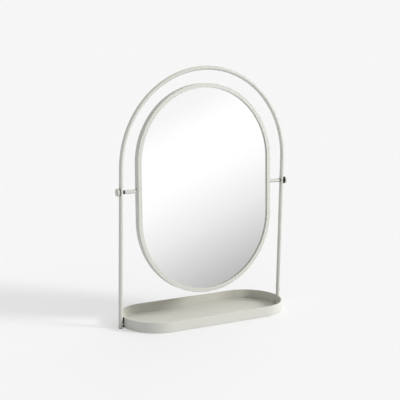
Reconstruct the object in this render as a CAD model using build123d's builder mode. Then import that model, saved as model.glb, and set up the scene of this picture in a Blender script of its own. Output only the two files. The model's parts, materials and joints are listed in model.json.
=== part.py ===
"""Free-standing dressing-table mirror: a round-topped tube arch, a pivoting pill-shaped mirror
and a shallow pill-shaped tray as its foot.

Millimetres. The table top is Z = 0, the front of the mirror faces -Y and +X is to its right.
"""
from build123d import *
from math import cos, radians, sin, sqrt
import os

os.makedirs("parts", exist_ok=True)

# ---------------------------------------------------------------- driving dimensions
# arch
arch_width = 360.0            # between the centrelines of the two legs
tube_radius = 4.0
tube_wall = 1.0
foot_height = 1.2             # rubber under the tube ends and under the tray
foot_edge = 0.6               # rounding of the foot caps
plug_stem = 3.0               # length of the foot plug inside the tube

# tray
tray_depth = 137.0            # front to back
tray_rise = 19.5              # height of the rim band
band_thickness = 1.6
band_edge = 0.4               # rounding of the band's upper edges
floor_thickness = 1.5
tray_gap = 2.0                # between the tube and the end of the tray
tray_pad_radius = 5.0
tray_pad_pitch_x = 240.0
tray_pad_pitch_y = 80.0

# screws that hold the tray to the legs
screw_height = 7.5            # above the table
screw_radius = 1.95
screw_head_radius = 3.5
screw_head_height = 2.0
screw_head_edge = 0.8
screw_engagement = 4.4        # how far the screw reaches into the tapped slug
screw_socket_radius = 1.15
screw_socket_depth = 1.2
slug_length = 6.0
spacer_radius = 2.5
leg_pad_width = 4.8           # rubber strips between the leg and the tray
leg_pad_margin = 0.6          # strips stop short of the band's edges by this much

# mirror frame
side_gap = 28.0               # between the tube and the side of the frame
crown_gap = 25.0              # between the tube and the top of the frame
mirror_clearance = 31.0       # between the tray rim and the bottom of the frame
frame_straight = 107.0        # straight stretch of each side
frame_depth = 13.5
frame_face = 8.0              # width of the front lip
frame_wall = 2.0
lip_thickness = 3.0
frame_outer_edge = 0.8
frame_inner_edge = 0.5
tilt_at_rest = 3.0            # degrees, top leaning back

# what the frame holds
glass_thickness = 3.0
foam_thickness = 1.0
panel_thickness = 2.5
panel_edge = 0.5
tab_width = 10.0
tab_thickness = 0.8
tab_reach = 7.0
tab_height = 3.2
tab_angles = (20.0, 90.0, 160.0)

# pivots
pivot_rise = 5.0              # the rods sit this far above the middle of the frame, so that it hangs steady
rod_radius = 3.75
rod_thread_depth = 15.0
bush_flange_radius = 3.9
bush_flange_thickness = 2.6
bush_sleeve_radius = 2.5
stud_radius = 1.95
stud_engagement = 11.0        # length of stud inside the rod
washer_radius = 7.2
washer_thickness = 1.5
knob_radius = 7.2
knob_thickness = 3.6
knob_edge = 0.5
knob_socket_depth = 2.4       # blind hole in the knob that holds the stud

# fits
press_clearance = 0.03
loose_clearance = 0.05
glass_clearance = 0.6
panel_clearance = 0.9

# ---------------------------------------------------------------- places worked out from them
leg_x = arch_width / 2
leg_inner_x = leg_x - tube_radius
leg_outer_x = leg_x + tube_radius
tube_bore = tube_radius - tube_wall

tray_half_length = leg_inner_x - tray_gap
tray_top = foot_height + tray_rise
end_centre_x = tray_half_length - tray_depth / 2
inner_end_radius = tray_depth / 2 - band_thickness
floor_top = foot_height + floor_thickness

frame_half_width = leg_inner_x - side_gap
frame_width = 2 * frame_half_width
frame_centre_z = tray_top + mirror_clearance + frame_half_width + frame_straight / 2
pivot_z = frame_centre_z + pivot_rise
spring_z = frame_centre_z + frame_straight / 2 + crown_gap - side_gap
hole_radius = stud_radius + loose_clearance
sleeve_hole_radius = bush_sleeve_radius + loose_clearance

glass_front = frame_depth / 2 - lip_thickness
glass_back = glass_front - glass_thickness
foam_back = glass_back - foam_thickness
panel_back = foam_back - panel_thickness

tilt = radians(tilt_at_rest)
mirror_centre = (0, -pivot_rise * sin(tilt), pivot_z - pivot_rise * cos(tilt))
mirror_plane = Plane(origin=mirror_centre, x_dir=(1, 0, 0), z_dir=(0, -cos(tilt), sin(tilt)))
mirror_axis = Axis(mirror_centre, tuple(mirror_plane.z_dir))

sides = (("left", -1), ("right", 1))


def outward(sign, distance, height):
    """Plane square to X at a distance from the middle, facing away from the middle."""
    return Plane(origin=(sign * distance, 0, height), x_dir=(0, 0, 1), z_dir=(sign, 0, 0))


def save(piece, name):
    piece.part.label = name
    export_step(piece.part, f"parts/{name}.step")


# ---------------------------------------------------------------- arch
with BuildPart() as arch_tube:
    with BuildLine(Plane.XZ) as centreline:
        Line((-leg_x, foot_height), (-leg_x, spring_z))
        RadiusArc((-leg_x, spring_z), (leg_x, spring_z), leg_x)
        Line((leg_x, spring_z), (leg_x, foot_height))
    with BuildSketch(Plane.XY.offset(foot_height)):
        with Locations((-leg_x, 0)):
            Circle(tube_radius)
            Circle(tube_bore, mode=Mode.SUBTRACT)
    sweep(path=centreline.line)
    for side, sign in sides:
        with BuildSketch(outward(sign, leg_inner_x, pivot_z)):
            Circle(sleeve_hole_radius)
        extrude(amount=2 * tube_radius, mode=Mode.SUBTRACT)
        with BuildSketch(outward(sign, leg_inner_x, screw_height)):
            Circle(screw_radius + loose_clearance)
        extrude(amount=tube_radius, mode=Mode.SUBTRACT)
save(arch_tube, "arch_tube")

for side, sign in sides:
    # The plug closes the open end of the tube, and its cap is what the leg stands on.
    with BuildPart() as foot_plug:
        with BuildSketch(Plane.XY):
            with Locations((sign * leg_x, 0)):
                Circle(tube_radius)
        extrude(amount=foot_height)
        fillet(foot_plug.faces().sort_by(Axis.Z)[0].edges(), radius=foot_edge)
        with BuildSketch(Plane.XY.offset(foot_height)):
            with Locations((sign * leg_x, 0)):
                Circle(tube_bore - press_clearance)
        extrude(amount=plug_stem)
    save(foot_plug, f"{side}_foot_plug")

    # A steel slug inside the tube is tapped for the tray screw.
    with BuildPart() as leg_slug:
        with BuildSketch(Plane.XY.offset(screw_height - slug_length / 2)):
            with Locations((sign * leg_x, 0)):
                Circle(tube_bore - press_clearance)
        extrude(amount=slug_length)
        with BuildSketch(outward(sign, leg_inner_x, screw_height)):
            Circle(screw_radius + loose_clearance)
        extrude(amount=2 * tube_radius, mode=Mode.SUBTRACT)
    save(leg_slug, f"{side}_leg_slug")

# ---------------------------------------------------------------- tray
with BuildPart() as rim_band:
    with BuildSketch(Plane.XY.offset(foot_height)):
        SlotCenterToCenter(2 * end_centre_x, tray_depth)
        SlotCenterToCenter(2 * end_centre_x, 2 * inner_end_radius, mode=Mode.SUBTRACT)
    extrude(amount=tray_rise)
    fillet(rim_band.faces().sort_by(Axis.Z)[-1].edges(), radius=band_edge)
    for side, sign in sides:
        with BuildSketch(outward(sign, tray_half_length - 3 * band_thickness, screw_height)):
            Circle(screw_radius + loose_clearance)
        extrude(amount=4 * band_thickness, mode=Mode.SUBTRACT)
save(rim_band, "rim_band")

with BuildPart() as tray_floor:
    with BuildSketch(Plane.XY.offset(foot_height)):
        SlotCenterToCenter(2 * end_centre_x, 2 * (inner_end_radius - press_clearance))
    extrude(amount=floor_thickness)
save(tray_floor, "tray_floor")

with BuildPart() as tray_pads:
    with BuildSketch(Plane.XY):
        with GridLocations(tray_pad_pitch_x, tray_pad_pitch_y, 2, 2):
            Circle(tray_pad_radius)
    extrude(amount=foot_height)
    fillet(tray_pads.faces().group_by(Axis.Z)[0].edges(), radius=foot_edge)
save(tray_pads, "tray_pads")

for side, sign in sides:
    # The spacer holds the tray off the tube, and is shaped to both at its ends.
    with BuildPart() as tray_spacer:
        with BuildSketch(outward(sign, tray_half_length - band_thickness, screw_height)):
            Circle(spacer_radius)
            Circle(screw_radius + loose_clearance, mode=Mode.SUBTRACT)
        extrude(amount=band_thickness + tray_gap + tube_radius)
        with BuildSketch(Plane.XY):
            with Locations((sign * leg_x, 0)):
                Circle(tube_radius)
            SlotOverall(2 * tray_half_length, tray_depth)
        extrude(amount=tray_top, mode=Mode.SUBTRACT)
    save(tray_spacer, f"{side}_tray_spacer")

    # Rubber strips above and below the spacer fill the gap between the tube and the tray.
    with BuildPart() as leg_pads:
        with BuildSketch(Plane.XY.offset(foot_height + leg_pad_margin)):
            with Locations((sign * (leg_inner_x - tray_gap / 2), 0)):
                Rectangle(tray_gap + 2 * band_thickness, leg_pad_width)
            with Locations((sign * leg_x, 0)):
                Circle(tube_radius, mode=Mode.SUBTRACT)
            SlotOverall(2 * tray_half_length, tray_depth, mode=Mode.SUBTRACT)
        extrude(amount=tray_rise - 2 * leg_pad_margin)
        with BuildSketch(outward(sign, tray_half_length - band_thickness, screw_height)):
            Circle(spacer_radius + loose_clearance)
        extrude(amount=2 * band_thickness + tray_gap + tube_radius, mode=Mode.SUBTRACT)
    save(leg_pads, f"{side}_leg_pads")

    # Button-head screw, put in from inside the tray. Its flat head bears on the curved band.
    head_seat = end_centre_x + sqrt(inner_end_radius**2 - screw_head_radius**2)
    with BuildPart() as tray_screw:
        with BuildSketch(outward(sign, head_seat, screw_height)):
            Circle(screw_head_radius)
        extrude(amount=-screw_head_height)
        fillet(tray_screw.faces().sort_by(Axis.X)[0 if sign > 0 else -1].edges(), radius=screw_head_edge)
        with BuildSketch(outward(sign, head_seat, screw_height)):
            Circle(screw_radius)
        extrude(amount=leg_inner_x - head_seat + screw_engagement)
        with BuildSketch(outward(sign, head_seat - screw_head_height, screw_height)):
            RegularPolygon(screw_socket_radius, 6)
        extrude(amount=screw_socket_depth, mode=Mode.SUBTRACT)
    save(tray_screw, f"{side}_tray_screw")

# ---------------------------------------------------------------- mirror
with BuildPart() as frame_ring:
    with BuildSketch(mirror_plane.offset(-frame_depth / 2)):
        SlotCenterToCenter(frame_straight, frame_width, rotation=90)
    extrude(amount=frame_depth)
    with BuildSketch(mirror_plane.offset(-frame_depth / 2)):
        SlotCenterToCenter(frame_straight, frame_width - 2 * frame_wall, rotation=90)
    extrude(amount=frame_depth - lip_thickness, mode=Mode.SUBTRACT)
    with BuildSketch(mirror_plane.offset(glass_front)):
        SlotCenterToCenter(frame_straight, frame_width - 2 * frame_face, rotation=90)
    extrude(amount=lip_thickness, mode=Mode.SUBTRACT)
    front_face = frame_ring.faces().sort_by(mirror_axis)[-1]
    rear_face = frame_ring.faces().sort_by(mirror_axis)[0]
    fillet(front_face.outer_wire().edges() + rear_face.outer_wire().edges(), radius=frame_outer_edge)
    front_face = frame_ring.faces().sort_by(mirror_axis)[-1]
    fillet(front_face.inner_wires()[0].edges(), radius=frame_inner_edge)
save(frame_ring, "frame_ring")

with BuildPart() as mirror_glass:
    with BuildSketch(mirror_plane.offset(glass_back)):
        SlotCenterToCenter(frame_straight, frame_width - 2 * (frame_wall + glass_clearance), rotation=90)
    extrude(amount=glass_thickness)
save(mirror_glass, "mirror_glass")

with BuildPart() as foam_sheet:
    with BuildSketch(mirror_plane.offset(foam_back)):
        SlotCenterToCenter(frame_straight, frame_width - 2 * (frame_wall + panel_clearance), rotation=90)
    extrude(amount=foam_thickness)
save(foam_sheet, "foam_sheet")

with BuildPart() as back_panel:
    with BuildSketch(mirror_plane.offset(panel_back)):
        SlotCenterToCenter(frame_straight, frame_width - 2 * (frame_wall + panel_clearance), rotation=90)
    extrude(amount=panel_thickness)
    fillet(back_panel.faces().sort_by(mirror_axis)[0].edges(), radius=panel_edge)
save(back_panel, "back_panel")

# Bent steel tabs, spot-welded to the inside of the frame's wall, hold the back panel in.
tab_wall = sqrt((frame_half_width - frame_wall)**2 - (tab_width / 2)**2)
with BuildPart() as back_tabs:
    for up in (1, -1):
        for angle in tab_angles:
            centre = mirror_plane.from_local_coords(Vector(0, up * frame_straight / 2, 0))
            along_radius = Vector(cos(radians(angle)), up * sin(radians(angle)), 0)
            radius_dir = mirror_plane.from_local_coords(along_radius) - mirror_plane.origin
            section = Plane(origin=centre, x_dir=radius_dir, z_dir=radius_dir.cross(mirror_plane.z_dir))
            with BuildSketch(section):
                with BuildLine():
                    Polyline(
                        (tab_wall - tab_reach, panel_back),
                        (tab_wall, panel_back),
                        (tab_wall, panel_back - tab_height),
                        (tab_wall - tab_thickness, panel_back - tab_height),
                        (tab_wall - tab_thickness, panel_back - tab_thickness),
                        (tab_wall - tab_reach, panel_back - tab_thickness),
                        close=True,
                    )
                make_face()
            extrude(amount=tab_width / 2, both=True)
save(back_tabs, "back_tabs")

# ---------------------------------------------------------------- pivots
rod_end_x = leg_inner_x - bush_flange_thickness
washer_outer_x = leg_outer_x + washer_thickness
stud_outer_x = washer_outer_x + knob_socket_depth

for side, sign in sides:
    # Rod welded to the side of the frame, tapped from its outer end.
    with BuildPart() as pivot_rod:
        with BuildSketch(outward(sign, frame_half_width, pivot_z)):
            Circle(rod_radius)
        extrude(amount=rod_end_x - frame_half_width)
        with BuildSketch(outward(sign, rod_end_x, pivot_z)):
            Circle(hole_radius)
        extrude(amount=-rod_thread_depth, mode=Mode.SUBTRACT)
    save(pivot_rod, f"{side}_pivot_rod")

    # Flanged nylon bush: the sleeve lines the leg, the flange keeps the rod off the paint.
    with BuildPart() as pivot_bush:
        with BuildSketch(outward(sign, rod_end_x, pivot_z)):
            Circle(bush_flange_radius)
        extrude(amount=bush_flange_thickness)
        with BuildSketch(outward(sign, leg_inner_x, pivot_z)):
            Circle(bush_sleeve_radius)
        extrude(amount=2 * tube_radius)
        with BuildSketch(outward(sign, rod_end_x, pivot_z)):
            Circle(hole_radius)
        extrude(amount=washer_outer_x - rod_end_x, mode=Mode.SUBTRACT)
    save(pivot_bush, f"{side}_pivot_bush")

    with BuildPart() as outer_washer:
        with BuildSketch(outward(sign, leg_outer_x, pivot_z)):
            Circle(washer_radius)
            Circle(hole_radius, mode=Mode.SUBTRACT)
        extrude(amount=washer_thickness)
    save(outer_washer, f"{side}_outer_washer")

    with BuildPart() as knob_stud:
        with BuildSketch(outward(sign, rod_end_x - stud_engagement, pivot_z)):
            Circle(stud_radius)
        extrude(amount=stud_outer_x - rod_end_x + stud_engagement)
    save(knob_stud, f"{side}_knob_stud")

    with BuildPart() as knob:
        with BuildSketch(outward(sign, washer_outer_x, pivot_z)):
            Circle(knob_radius)
        extrude(amount=knob_thickness)
        fillet(knob.edges().filter_by(GeomType.CIRCLE), radius=knob_edge)
        with BuildSketch(outward(sign, washer_outer_x, pivot_z)):
            Circle(stud_radius + press_clearance)
        extrude(amount=knob_socket_depth, mode=Mode.SUBTRACT)
    save(knob, f"{side}_knob")

print(f"pivot at Z = {pivot_z:.2f}, arch springs at Z = {spring_z:.2f}")
print(f"frame {frame_width:.1f} x {frame_width + frame_straight:.1f}")
print(f"top of the arch at Z = {spring_z + leg_x + tube_radius:.1f}")
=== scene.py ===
"""Looks of the tilting table mirror: materials, weld beads, floor, light and camera.

Metres, in the CAD model's own frame: +Z up, the mirror faces -Y, the table top is Z = 0.
"""
import json
from math import cos, pi, radians, sin

import bmesh
import bpy
from mathutils import Matrix, Vector


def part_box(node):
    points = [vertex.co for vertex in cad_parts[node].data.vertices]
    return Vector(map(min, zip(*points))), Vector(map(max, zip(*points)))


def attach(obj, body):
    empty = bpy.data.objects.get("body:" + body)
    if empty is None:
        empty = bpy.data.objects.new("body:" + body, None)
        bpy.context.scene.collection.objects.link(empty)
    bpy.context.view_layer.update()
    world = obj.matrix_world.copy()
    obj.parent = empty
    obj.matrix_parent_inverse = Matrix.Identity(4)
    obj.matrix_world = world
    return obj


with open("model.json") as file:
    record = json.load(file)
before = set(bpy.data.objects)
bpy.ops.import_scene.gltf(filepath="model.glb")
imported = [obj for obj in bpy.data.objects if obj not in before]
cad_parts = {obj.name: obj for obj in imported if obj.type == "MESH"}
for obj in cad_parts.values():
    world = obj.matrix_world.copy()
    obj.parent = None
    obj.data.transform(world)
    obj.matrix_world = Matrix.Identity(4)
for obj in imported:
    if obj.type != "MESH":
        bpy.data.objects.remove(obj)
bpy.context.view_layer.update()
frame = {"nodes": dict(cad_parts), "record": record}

MM = 0.001
MICRON = 0.001 * MM

# camera, fitted to the photograph
SENSOR = 36.0                     # millimetres, like the focal length
FOCAL_LENGTH = 85.42
CAMERA_TARGET = Vector((-0.0112, 0.0, 0.2314))
CAMERA_DISTANCE = 1.8258
CAMERA_YAW = radians(31.147)      # seen from the left of the mirror
CAMERA_PITCH = radians(9.938)     # looking down
CAMERA_ROLL = radians(1.0)

# colours, linear
WHITE = (1.0, 1.0, 1.0)
BACKGROUND = (0.921, 0.921, 0.921)
COAT = (0.637, 0.627, 0.562)
SILVER = (0.965, 0.97, 0.968)
NYLON = (0.022, 0.022, 0.022)
RUBBER = (0.028, 0.028, 0.027)
ZINC = (0.56, 0.57, 0.59)
FOAM = (0.74, 0.74, 0.72)
BOARD = (0.115, 0.112, 0.105)

NOISE_MIDDLE = (0.3, 0.7)         # most of a noise's values lie between these

# Light, where 1 is the level at which a colour renders as it is written. Angles are in degrees, the azimuth
# counts from +X towards the front. A highlight lamp lights gloss alone, and the others all but gloss.
LAMPS = (
    dict(name="key", level=0.68, azimuth=41.0, elevation=26.0, softness=15.0, highlight=False),
    dict(name="rim", level=0.28, azimuth=-20.0, elevation=30.0, softness=70.0, highlight=False),
    dict(name="soft_box", level=0.45, azimuth=40.0, elevation=0.0, softness=26.0, highlight=True),
)
SKY_LEVEL = 0.52
FLOOR_LEVEL = 0.950                   # light that reaches the floor, all lamps and sky together
FLOOR_BOUNCE = (0.82, 0.845, 0.93)    # colour of the floor as it lights the object from below
SHADOW_SHARE = 0.54                   # part of the floor's look that takes shadow
FLOOR_HALF_SIZE = 30.0
FLOOR_NEAR = 0.28                     # glossy pieces mirror the floor up to here
FLOOR_FAR = 0.34                      # and no longer from here on

# The studio in front of the mirror, as glossy pieces see it: levels at positions along one direction.
REFLECTED_ALONG = Vector((-0.4951, 0.0, 0.8688))
REFLECTED = (
    (-0.45, 0.42), (-0.40, 0.55), (-0.347, 0.865), (-0.316, 0.99),
    (-0.298, 1.04), (-0.262, 1.04), (-0.235, 0.95), (-0.21, 0.93),
    (-0.15, 0.91), (-0.08, 0.87), (0.02, 0.76), (0.14, 0.62), (0.30, 0.52),
)
REFLECTED_FRONT = Vector((0.30, -0.95, 0.0))    # it lies this way
REFLECTED_EDGE = (0.10, 0.55)                   # and fades in between these positions along that way
REFLECTED_REST = (0.38, 1.0)                    # level of the studio behind and above, from -X to +X

# weld beads at the roots of the pivot rods
BEAD_LEG = 1.1 * MM
BEAD_SINK = 0.06 * MM
BEAD_RIPPLES = 22
BEAD_RIPPLE_DEPTH = 0.09          # share of the leg
BEAD_STEPS = 8 * BEAD_RIPPLES
BEAD_ARC_STEPS = 6


# ---------------------------------------------------------------- node trees
def opaque(colour):
    """The colour as a colour socket takes it."""
    return (*colour, 1)


class NodeTree:
    """The node tree of a material or world, and short names for the nodes that the looks need."""

    def __init__(self, owner):
        owner.use_nodes = True
        self.tree = owner.node_tree

    def put(self, value, socket):
        """Sets an input to a constant, or links an output to it."""
        if isinstance(value, bpy.types.NodeSocket):
            self.tree.links.new(value, socket)
        else:
            socket.default_value = value

    def node(self, kind, inputs=(), **properties):
        """A new node. Its inputs are given by name or number, each as a constant or an output."""
        made = self.tree.nodes.new(kind)
        for name, value in properties.items():
            setattr(made, name, value)
        for key, value in dict(inputs).items():
            self.put(value, made.inputs[key])
        return made

    def rays(self):
        """Outputs that say what kind of ray is looking, by name."""
        return self.node("ShaderNodeLightPath").outputs

    def math(self, operation, *values):
        """The result of a Math node, with each value a number or an output."""
        return self.node("ShaderNodeMath", enumerate(values), operation=operation).outputs["Value"]

    def spread(self, value, from_min, from_max, to_min=0.0, to_max=1.0, interpolation="LINEAR"):
        """The value, with its range from_min to from_max spread over to_min to to_max."""
        inputs = {
            "Value": value, "From Min": from_min, "From Max": from_max, "To Min": to_min, "To Max": to_max,
        }
        return self.node("ShaderNodeMapRange", inputs, interpolation_type=interpolation).outputs["Result"]

    def mix(self, factor, off, on):
        """Two shaders mixed: off where the factor is 0, on where it is 1."""
        return self.node("ShaderNodeMixShader", {0: factor, 1: off, 2: on}).outputs["Shader"]


class Finish(NodeTree):
    """A material with one Principled BSDF."""

    def __init__(self, name):
        self.material = bpy.data.materials.new(name)
        super().__init__(self.material)
        self.bsdf = self.tree.nodes["Principled BSDF"]
        self.coords = self.node("ShaderNodeTexCoord").outputs["Object"]

    def surface(self, **values):
        """Sets inputs of the BSDF by their names, with _ for each space."""
        for name, value in values.items():
            self.put(value, self.bsdf.inputs[name.replace("_", " ")])

    def noise(self, per_metre, detail=2.0, roughness=0.5, stretch=None):
        """Noise with that many features per metre, times the stretch along X, Y and Z."""
        coords = self.coords
        if stretch:
            coords = self.node("ShaderNodeMapping", {"Vector": coords, "Scale": stretch}).outputs["Vector"]
        inputs = {"Vector": coords, "Scale": per_metre, "Detail": detail, "Roughness": roughness}
        return self.node("ShaderNodeTexNoise", inputs).outputs["Fac"]

    def shade(self, colour, *parts):
        """Base colour, made darker and lighter by each (factor, amount)."""
        for factor, amount in parts:
            inputs = {"Vector": colour, "Scale": self.spread(factor, *NOISE_MIDDLE, 1 - amount, 1 + amount)}
            colour = self.node("ShaderNodeVectorMath", inputs, operation="SCALE").outputs["Vector"]
        self.surface(Base_Color=colour)

    def rough(self, factor, low, high):
        """Roughness from low to high. A range that crosses 0.274 shows as specks in a denoised render."""
        self.surface(Roughness=self.spread(factor, *NOISE_MIDDLE, low, high))

    def bump(self, *parts):
        """Bumps on top of each other, each as (height factor, depth in metres)."""
        below = {}
        for factor, depth in parts:
            inputs = {"Height": factor, "Distance": depth, "Strength": 1.0, **below}
            below = {"Normal": self.node("ShaderNodeBump", inputs).outputs["Normal"]}
        self.surface(**below)


# ---------------------------------------------------------------- materials
def powder_coat():
    """Pale warm grey powder coat: satin, with a very fine orange peel and pigment specks."""
    s = Finish("warm_grey_powder_coat")
    clouds, specks, pigment = s.noise(7, 3), s.noise(900, 1), s.noise(3500, 0)
    orange_peel, grain = s.noise(420, 1), s.noise(1500, 1)
    s.shade(COAT, (clouds, 0.015), (specks, 0.015), (pigment, 0.02))
    s.rough(s.noise(60, 3), 0.29, 0.36)
    s.bump((orange_peel, 6 * MICRON), (grain, 2 * MICRON))
    s.surface(IOR=1.5)
    return s.material


def silvered_glass():
    """Float glass with a silver back: a mirror under a clear front face, with a trace of dust."""
    s = Finish("silvered_float_glass")
    silvering, dust = s.noise(3, 2), s.noise(240, 4)
    s.shade(SILVER, (silvering, 0.004), (dust, 0.006))
    s.rough(s.noise(18, 5, 0.65), 0.004, 0.022)
    s.surface(Metallic=1.0, Coat_Weight=1.0, Coat_IOR=1.52, Coat_Roughness=0.0)
    return s.material


def black_nylon():
    """Moulded nylon, matt, with the faint grain of the mould."""
    s = Finish("black_moulded_nylon")
    clouds, specks = s.noise(90, 3), s.noise(1600, 2)
    s.shade(NYLON, (clouds, 0.10), (specks, 0.12))
    s.rough(s.noise(300, 3), 0.42, 0.58)
    s.bump((s.noise(1400, 2), 20 * MICRON))
    s.surface(IOR=1.53)
    return s.material


def rubber():
    """Black rubber, dull, slightly dusty and pitted."""
    s = Finish("black_rubber")
    dust, specks, pits = s.noise(60, 4), s.noise(2200, 1), s.noise(900, 3)
    s.shade(RUBBER, (dust, 0.16), (specks, 0.10))
    s.rough(s.noise(120, 4), 0.66, 0.86)
    s.bump((pits, 40 * MICRON))
    s.surface(Specular_IOR_Level=0.35)
    return s.material


def plated_steel():
    """Zinc plated steel: fine drawn lines along X and a cloudy passivation."""
    s = Finish("zinc_plated_steel")
    clouds, streaks = s.noise(140, 4), s.noise(1800, 2, stretch=(0.08, 1.0, 1.0))
    drawn_lines = s.noise(2400, 2, stretch=(0.06, 1.0, 1.0))
    s.shade(ZINC, (clouds, 0.07), (streaks, 0.05))
    s.rough(s.noise(700, 3, stretch=(0.1, 1.0, 1.0)), 0.29, 0.42)
    s.bump((drawn_lines, 8 * MICRON))
    s.surface(Metallic=1.0)
    return s.material


def foam():
    """Closed-cell foam sheet with its small cells."""
    s = Finish("closed_cell_foam")
    cells = s.node("ShaderNodeTexVoronoi", {"Vector": s.coords, "Scale": 1100}).outputs["Distance"]
    s.shade(FOAM, (s.noise(40, 3), 0.03), (cells, 0.05))
    s.rough(s.noise(500, 2), 0.75, 0.9)
    s.bump((cells, 80 * MICRON))
    return s.material


def board():
    """Painted hardboard: the screen pattern of its rough side shows through the dark paint."""
    s = Finish("painted_hardboard")
    screen = [
        s.node(
            "ShaderNodeTexWave", {"Vector": s.coords, "Scale": 95, "Distortion": 0.8, "Detail": 1.0},
            bands_direction=direction,
        ).outputs["Fac"]
        for direction in ("X", "Z")
    ]
    clouds, fibres = s.noise(9, 3), s.noise(260, 5, 0.7)
    s.shade(BOARD, (clouds, 0.06), (fibres, 0.10), *[(wires, 0.03) for wires in screen])
    s.rough(fibres, 0.62, 0.80)
    s.bump(*[(wires, 50 * MICRON) for wires in screen], (fibres, 50 * MICRON))
    return s.material


def dress_cad_nodes():
    """Gives every CAD node the finish of its slot in the record. Returns the finishes by slot."""
    finishes = {
        "powder_coat": powder_coat(), "silvered_glass": silvered_glass(), "black_nylon": black_nylon(),
        "rubber": rubber(), "plated_steel": plated_steel(), "foam": foam(), "board": board(),
    }
    for part in frame["record"]["subparts"]:
        for material_slot in frame["nodes"][part["node"]].material_slots:
            material_slot.material = finishes[part["material_slot"]]
    return finishes


def add_object(name, data):
    """A new object in the scene."""
    made = bpy.data.objects.new(name, data)
    bpy.context.scene.collection.objects.link(made)
    return made


# ---------------------------------------------------------------- weld beads
def bead_section(rod_radius, leg):
    """A quarter-round fillet, sunk a little into frame and rod: points (along the rod, out from its axis)."""
    turns = [pi / 2 * step / BEAD_ARC_STEPS for step in range(BEAD_ARC_STEPS)]
    fillet = [(leg * sin(turn), rod_radius + leg * cos(turn)) for turn in turns]
    sunk_radius = rod_radius - BEAD_SINK
    return [(-BEAD_SINK, sunk_radius), (-BEAD_SINK, rod_radius + leg), *fillet, (leg, sunk_radius)]


def weld_bead(side, finish):
    """The bead that joins a pivot rod to the frame's side: a fillet round the rod, rippled by the torch."""
    rod_low, rod_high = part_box(f"{side}_pivot_rod")
    rod_radius = (rod_high.z - rod_low.z) / 2
    pivot_z = (rod_high.z + rod_low.z) / 2
    root_x, outwards = (rod_low.x, 1) if side == "right" else (rod_high.x, -1)
    mesh = bmesh.new()
    rings = []
    for step in range(BEAD_STEPS):
        angle = 2 * pi * step / BEAD_STEPS
        leg = BEAD_LEG * (1 + BEAD_RIPPLE_DEPTH * sin(BEAD_RIPPLES * angle))
        rings.append([
            mesh.verts.new((root_x + outwards * along, out * sin(angle), pivot_z + out * cos(angle)))
            for along, out in bead_section(rod_radius, leg)
        ])
    for ring, after in zip(rings, rings[1:] + rings[:1]):
        for i in range(len(ring)):
            j = (i + 1) % len(ring)
            mesh.faces.new((ring[i], ring[j], after[j], after[i]))
    bmesh.ops.recalc_face_normals(mesh, faces=mesh.faces)
    data = bpy.data.meshes.new(f"{side}_rod_weld")
    mesh.to_mesh(data)
    mesh.free()
    data.shade_smooth()
    data.materials.append(finish)
    bead = add_object(f"{side}_rod_weld", data)
    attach(bead, "mirror")


# ---------------------------------------------------------------- floor, light and camera
def floor_material():
    """Pale floor. The camera sees the background's colour with the object's shadow, pieces are lit by a
    darker and cooler bounce, and beyond a short way glossy pieces see the studio instead."""
    material = bpy.data.materials.new("studio_floor")
    floor = NodeTree(material)
    rays = floor.rays()
    colour = floor.node("ShaderNodeMix", {"Factor": rays["Is Diffuse Ray"]}, data_type="RGBA")
    # Mix has one set of sockets for each data type, so its colour sockets are picked by type.
    seen, bounced = [socket for socket in colour.inputs if socket.type == "RGBA"]
    floor.put(opaque(level / FLOOR_LEVEL for level in BACKGROUND), seen)
    floor.put(opaque(FLOOR_BOUNCE), bounced)
    mixed = next(socket for socket in colour.outputs if socket.type == "RGBA")
    shadowed = floor.node("ShaderNodeBsdfDiffuse", {"Color": mixed}).outputs["BSDF"]
    even = floor.node("ShaderNodeEmission", {"Color": opaque(BACKGROUND)}).outputs["Emission"]
    clear = floor.node("ShaderNodeBsdfTransparent").outputs["BSDF"]
    even_share = floor.math("MULTIPLY", rays["Is Camera Ray"], 1 - SHADOW_SHARE)
    place = floor.node("ShaderNodeTexCoord").outputs["Object"]
    distance = floor.node("ShaderNodeVectorMath", {0: place}, operation="LENGTH").outputs["Value"]
    away = floor.spread(distance, FLOOR_NEAR, FLOOR_FAR, interpolation="SMOOTHSTEP")
    glossy_away = floor.math("MULTIPLY", rays["Is Glossy Ray"], away)
    look = floor.mix(glossy_away, floor.mix(even_share, shadowed, even), clear)
    floor.put(look, floor.tree.nodes["Material Output"].inputs["Surface"])
    floor.tree.nodes.remove(floor.tree.nodes["Principled BSDF"])
    return material


def add_floor():
    """The table top: one large square at Z = 0, which is staging and not part of the object."""
    data = bpy.data.meshes.new("floor")
    half = FLOOR_HALF_SIZE
    corners = [(-half, -half, 0), (half, -half, 0), (half, half, 0), (-half, half, 0)]
    data.from_pydata(corners, [], [(0, 1, 2, 3)])
    data.materials.append(floor_material())
    add_object("floor", data)


def towards(azimuth, elevation):
    """Direction in which a light lies. The azimuth counts from +X towards the front."""
    return Vector((cos(elevation) * cos(azimuth), -cos(elevation) * sin(azimuth), sin(elevation)))


def add_lamp(name, level, azimuth, elevation, softness, highlight):
    """A soft sun, which lights either gloss alone or all but gloss."""
    data = bpy.data.lights.new(name, "SUN")
    data.energy = level * pi
    data.angle = radians(softness)
    lamp = add_object(name, data)
    lamp.visible_glossy = highlight
    lamp.visible_diffuse = not highlight
    lamp.rotation_mode = "QUATERNION"
    lamp.rotation_quaternion = towards(radians(azimuth), radians(elevation)).to_track_quat("Z", "Y")
    if highlight:
        keep_out_of_glass(lamp)


def keep_out_of_glass(lamp):
    """The glass mirrors the world's studio, in which this lamp would be a hard disc."""
    unlit = bpy.data.collections.new(f"not_lit_by_{lamp.name}")
    unlit.objects.link(frame["nodes"]["mirror_glass"])
    unlit.collection_objects[0].light_linking.link_state = "EXCLUDE"
    lamp.light_linking.receiver_collection = unlit


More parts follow.
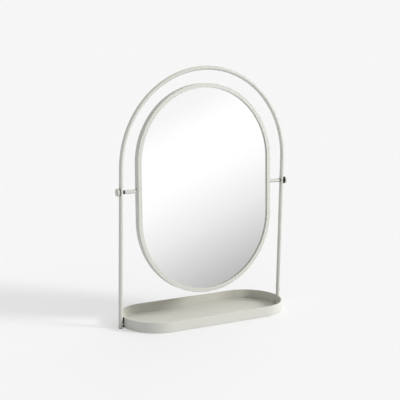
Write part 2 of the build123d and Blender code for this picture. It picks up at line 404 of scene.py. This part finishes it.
class World(NodeTree):
    """The scene's world, coloured by the direction in which a ray leaves the scene."""

    def __init__(self, name):
        bpy.context.scene.world = bpy.data.worlds.new(name)
        super().__init__(bpy.context.scene.world)
        self.direction = self.node("ShaderNodeTexCoord").outputs["Generated"]

    def along(self, vector):
        """How far the ray's direction goes along a vector."""
        inputs = {0: self.direction, 1: vector}
        return self.node("ShaderNodeVectorMath", inputs, operation="DOT_PRODUCT").outputs["Value"]

    def glow(self, strength, colour=opaque(WHITE)):
        """A background, with strength and colour each a constant or an output."""
        inputs = {"Strength": strength, "Color": colour}
        return self.node("ShaderNodeBackground", inputs).outputs["Background"]


def mirrored_studio(world):
    """What glossy pieces see: in front a pale studio that greys towards both ends, and behind and above a
    plainer one that greys towards the left."""
    low, high = REFLECTED[0][0], REFLECTED[-1][0]
    peak = max(level for _, level in REFLECTED)
    ramp = world.node("ShaderNodeValToRGB", {"Fac": world.spread(world.along(REFLECTED_ALONG), low, high)})
    elements = ramp.color_ramp.elements
    while len(elements) < len(REFLECTED):
        elements.new(0.5)         # anywhere, as each is placed below
    for element, (position, level) in zip(elements, REFLECTED):
        element.position = (position - low) / (high - low)
        element.color = opaque([level / peak] * 3)
    front = world.spread(world.along(REFLECTED_FRONT), *REFLECTED_EDGE, interpolation="SMOOTHSTEP")
    rest = world.glow(world.spread(world.along((1, 0, 0)), -1, 1, *REFLECTED_REST))
    return world.mix(front, rest, world.glow(peak, ramp.outputs["Color"]))


def add_world():
    """Even sky light. The camera sees the background, and glossy pieces see the studio."""
    world = World("studio")
    rays = world.rays()
    glossy = world.math("MAXIMUM", rays["Is Glossy Ray"], rays["Is Transmission Ray"])
    lit = world.mix(glossy, world.glow(SKY_LEVEL), mirrored_studio(world))
    seen = world.mix(rays["Is Camera Ray"], lit, world.glow(1.0, opaque(BACKGROUND)))
    world.put(seen, world.tree.nodes["World Output"].inputs["Surface"])


def add_camera():
    """The photograph's viewpoint: turned by yaw and pitch, then rolled about the line of sight."""
    data = bpy.data.cameras.new("camera")
    data.lens = FOCAL_LENGTH
    data.sensor_width = SENSOR
    forward = Vector((
        sin(CAMERA_YAW) * cos(CAMERA_PITCH), cos(CAMERA_YAW) * cos(CAMERA_PITCH), -sin(CAMERA_PITCH)
    ))
    level_right = Vector((cos(CAMERA_YAW), -sin(CAMERA_YAW), 0))
    level_up = level_right.cross(forward)
    right = level_right * cos(CAMERA_ROLL) + level_up * sin(CAMERA_ROLL)
    up = -level_right * sin(CAMERA_ROLL) + level_up * cos(CAMERA_ROLL)
    turn = Matrix((right, up, -forward)).transposed().to_4x4()
    camera = add_object("camera", data)
    camera.matrix_world = Matrix.Translation(CAMERA_TARGET - forward * CAMERA_DISTANCE) @ turn
    bpy.context.scene.camera = camera


finishes = dress_cad_nodes()
for side in ("left", "right"):
    weld_bead(side, finishes["powder_coat"])
add_floor()
for lamp in LAMPS:
    add_lamp(**lamp)
add_world()
add_camera()
bpy.context.scene.view_settings.view_transform = "Standard"
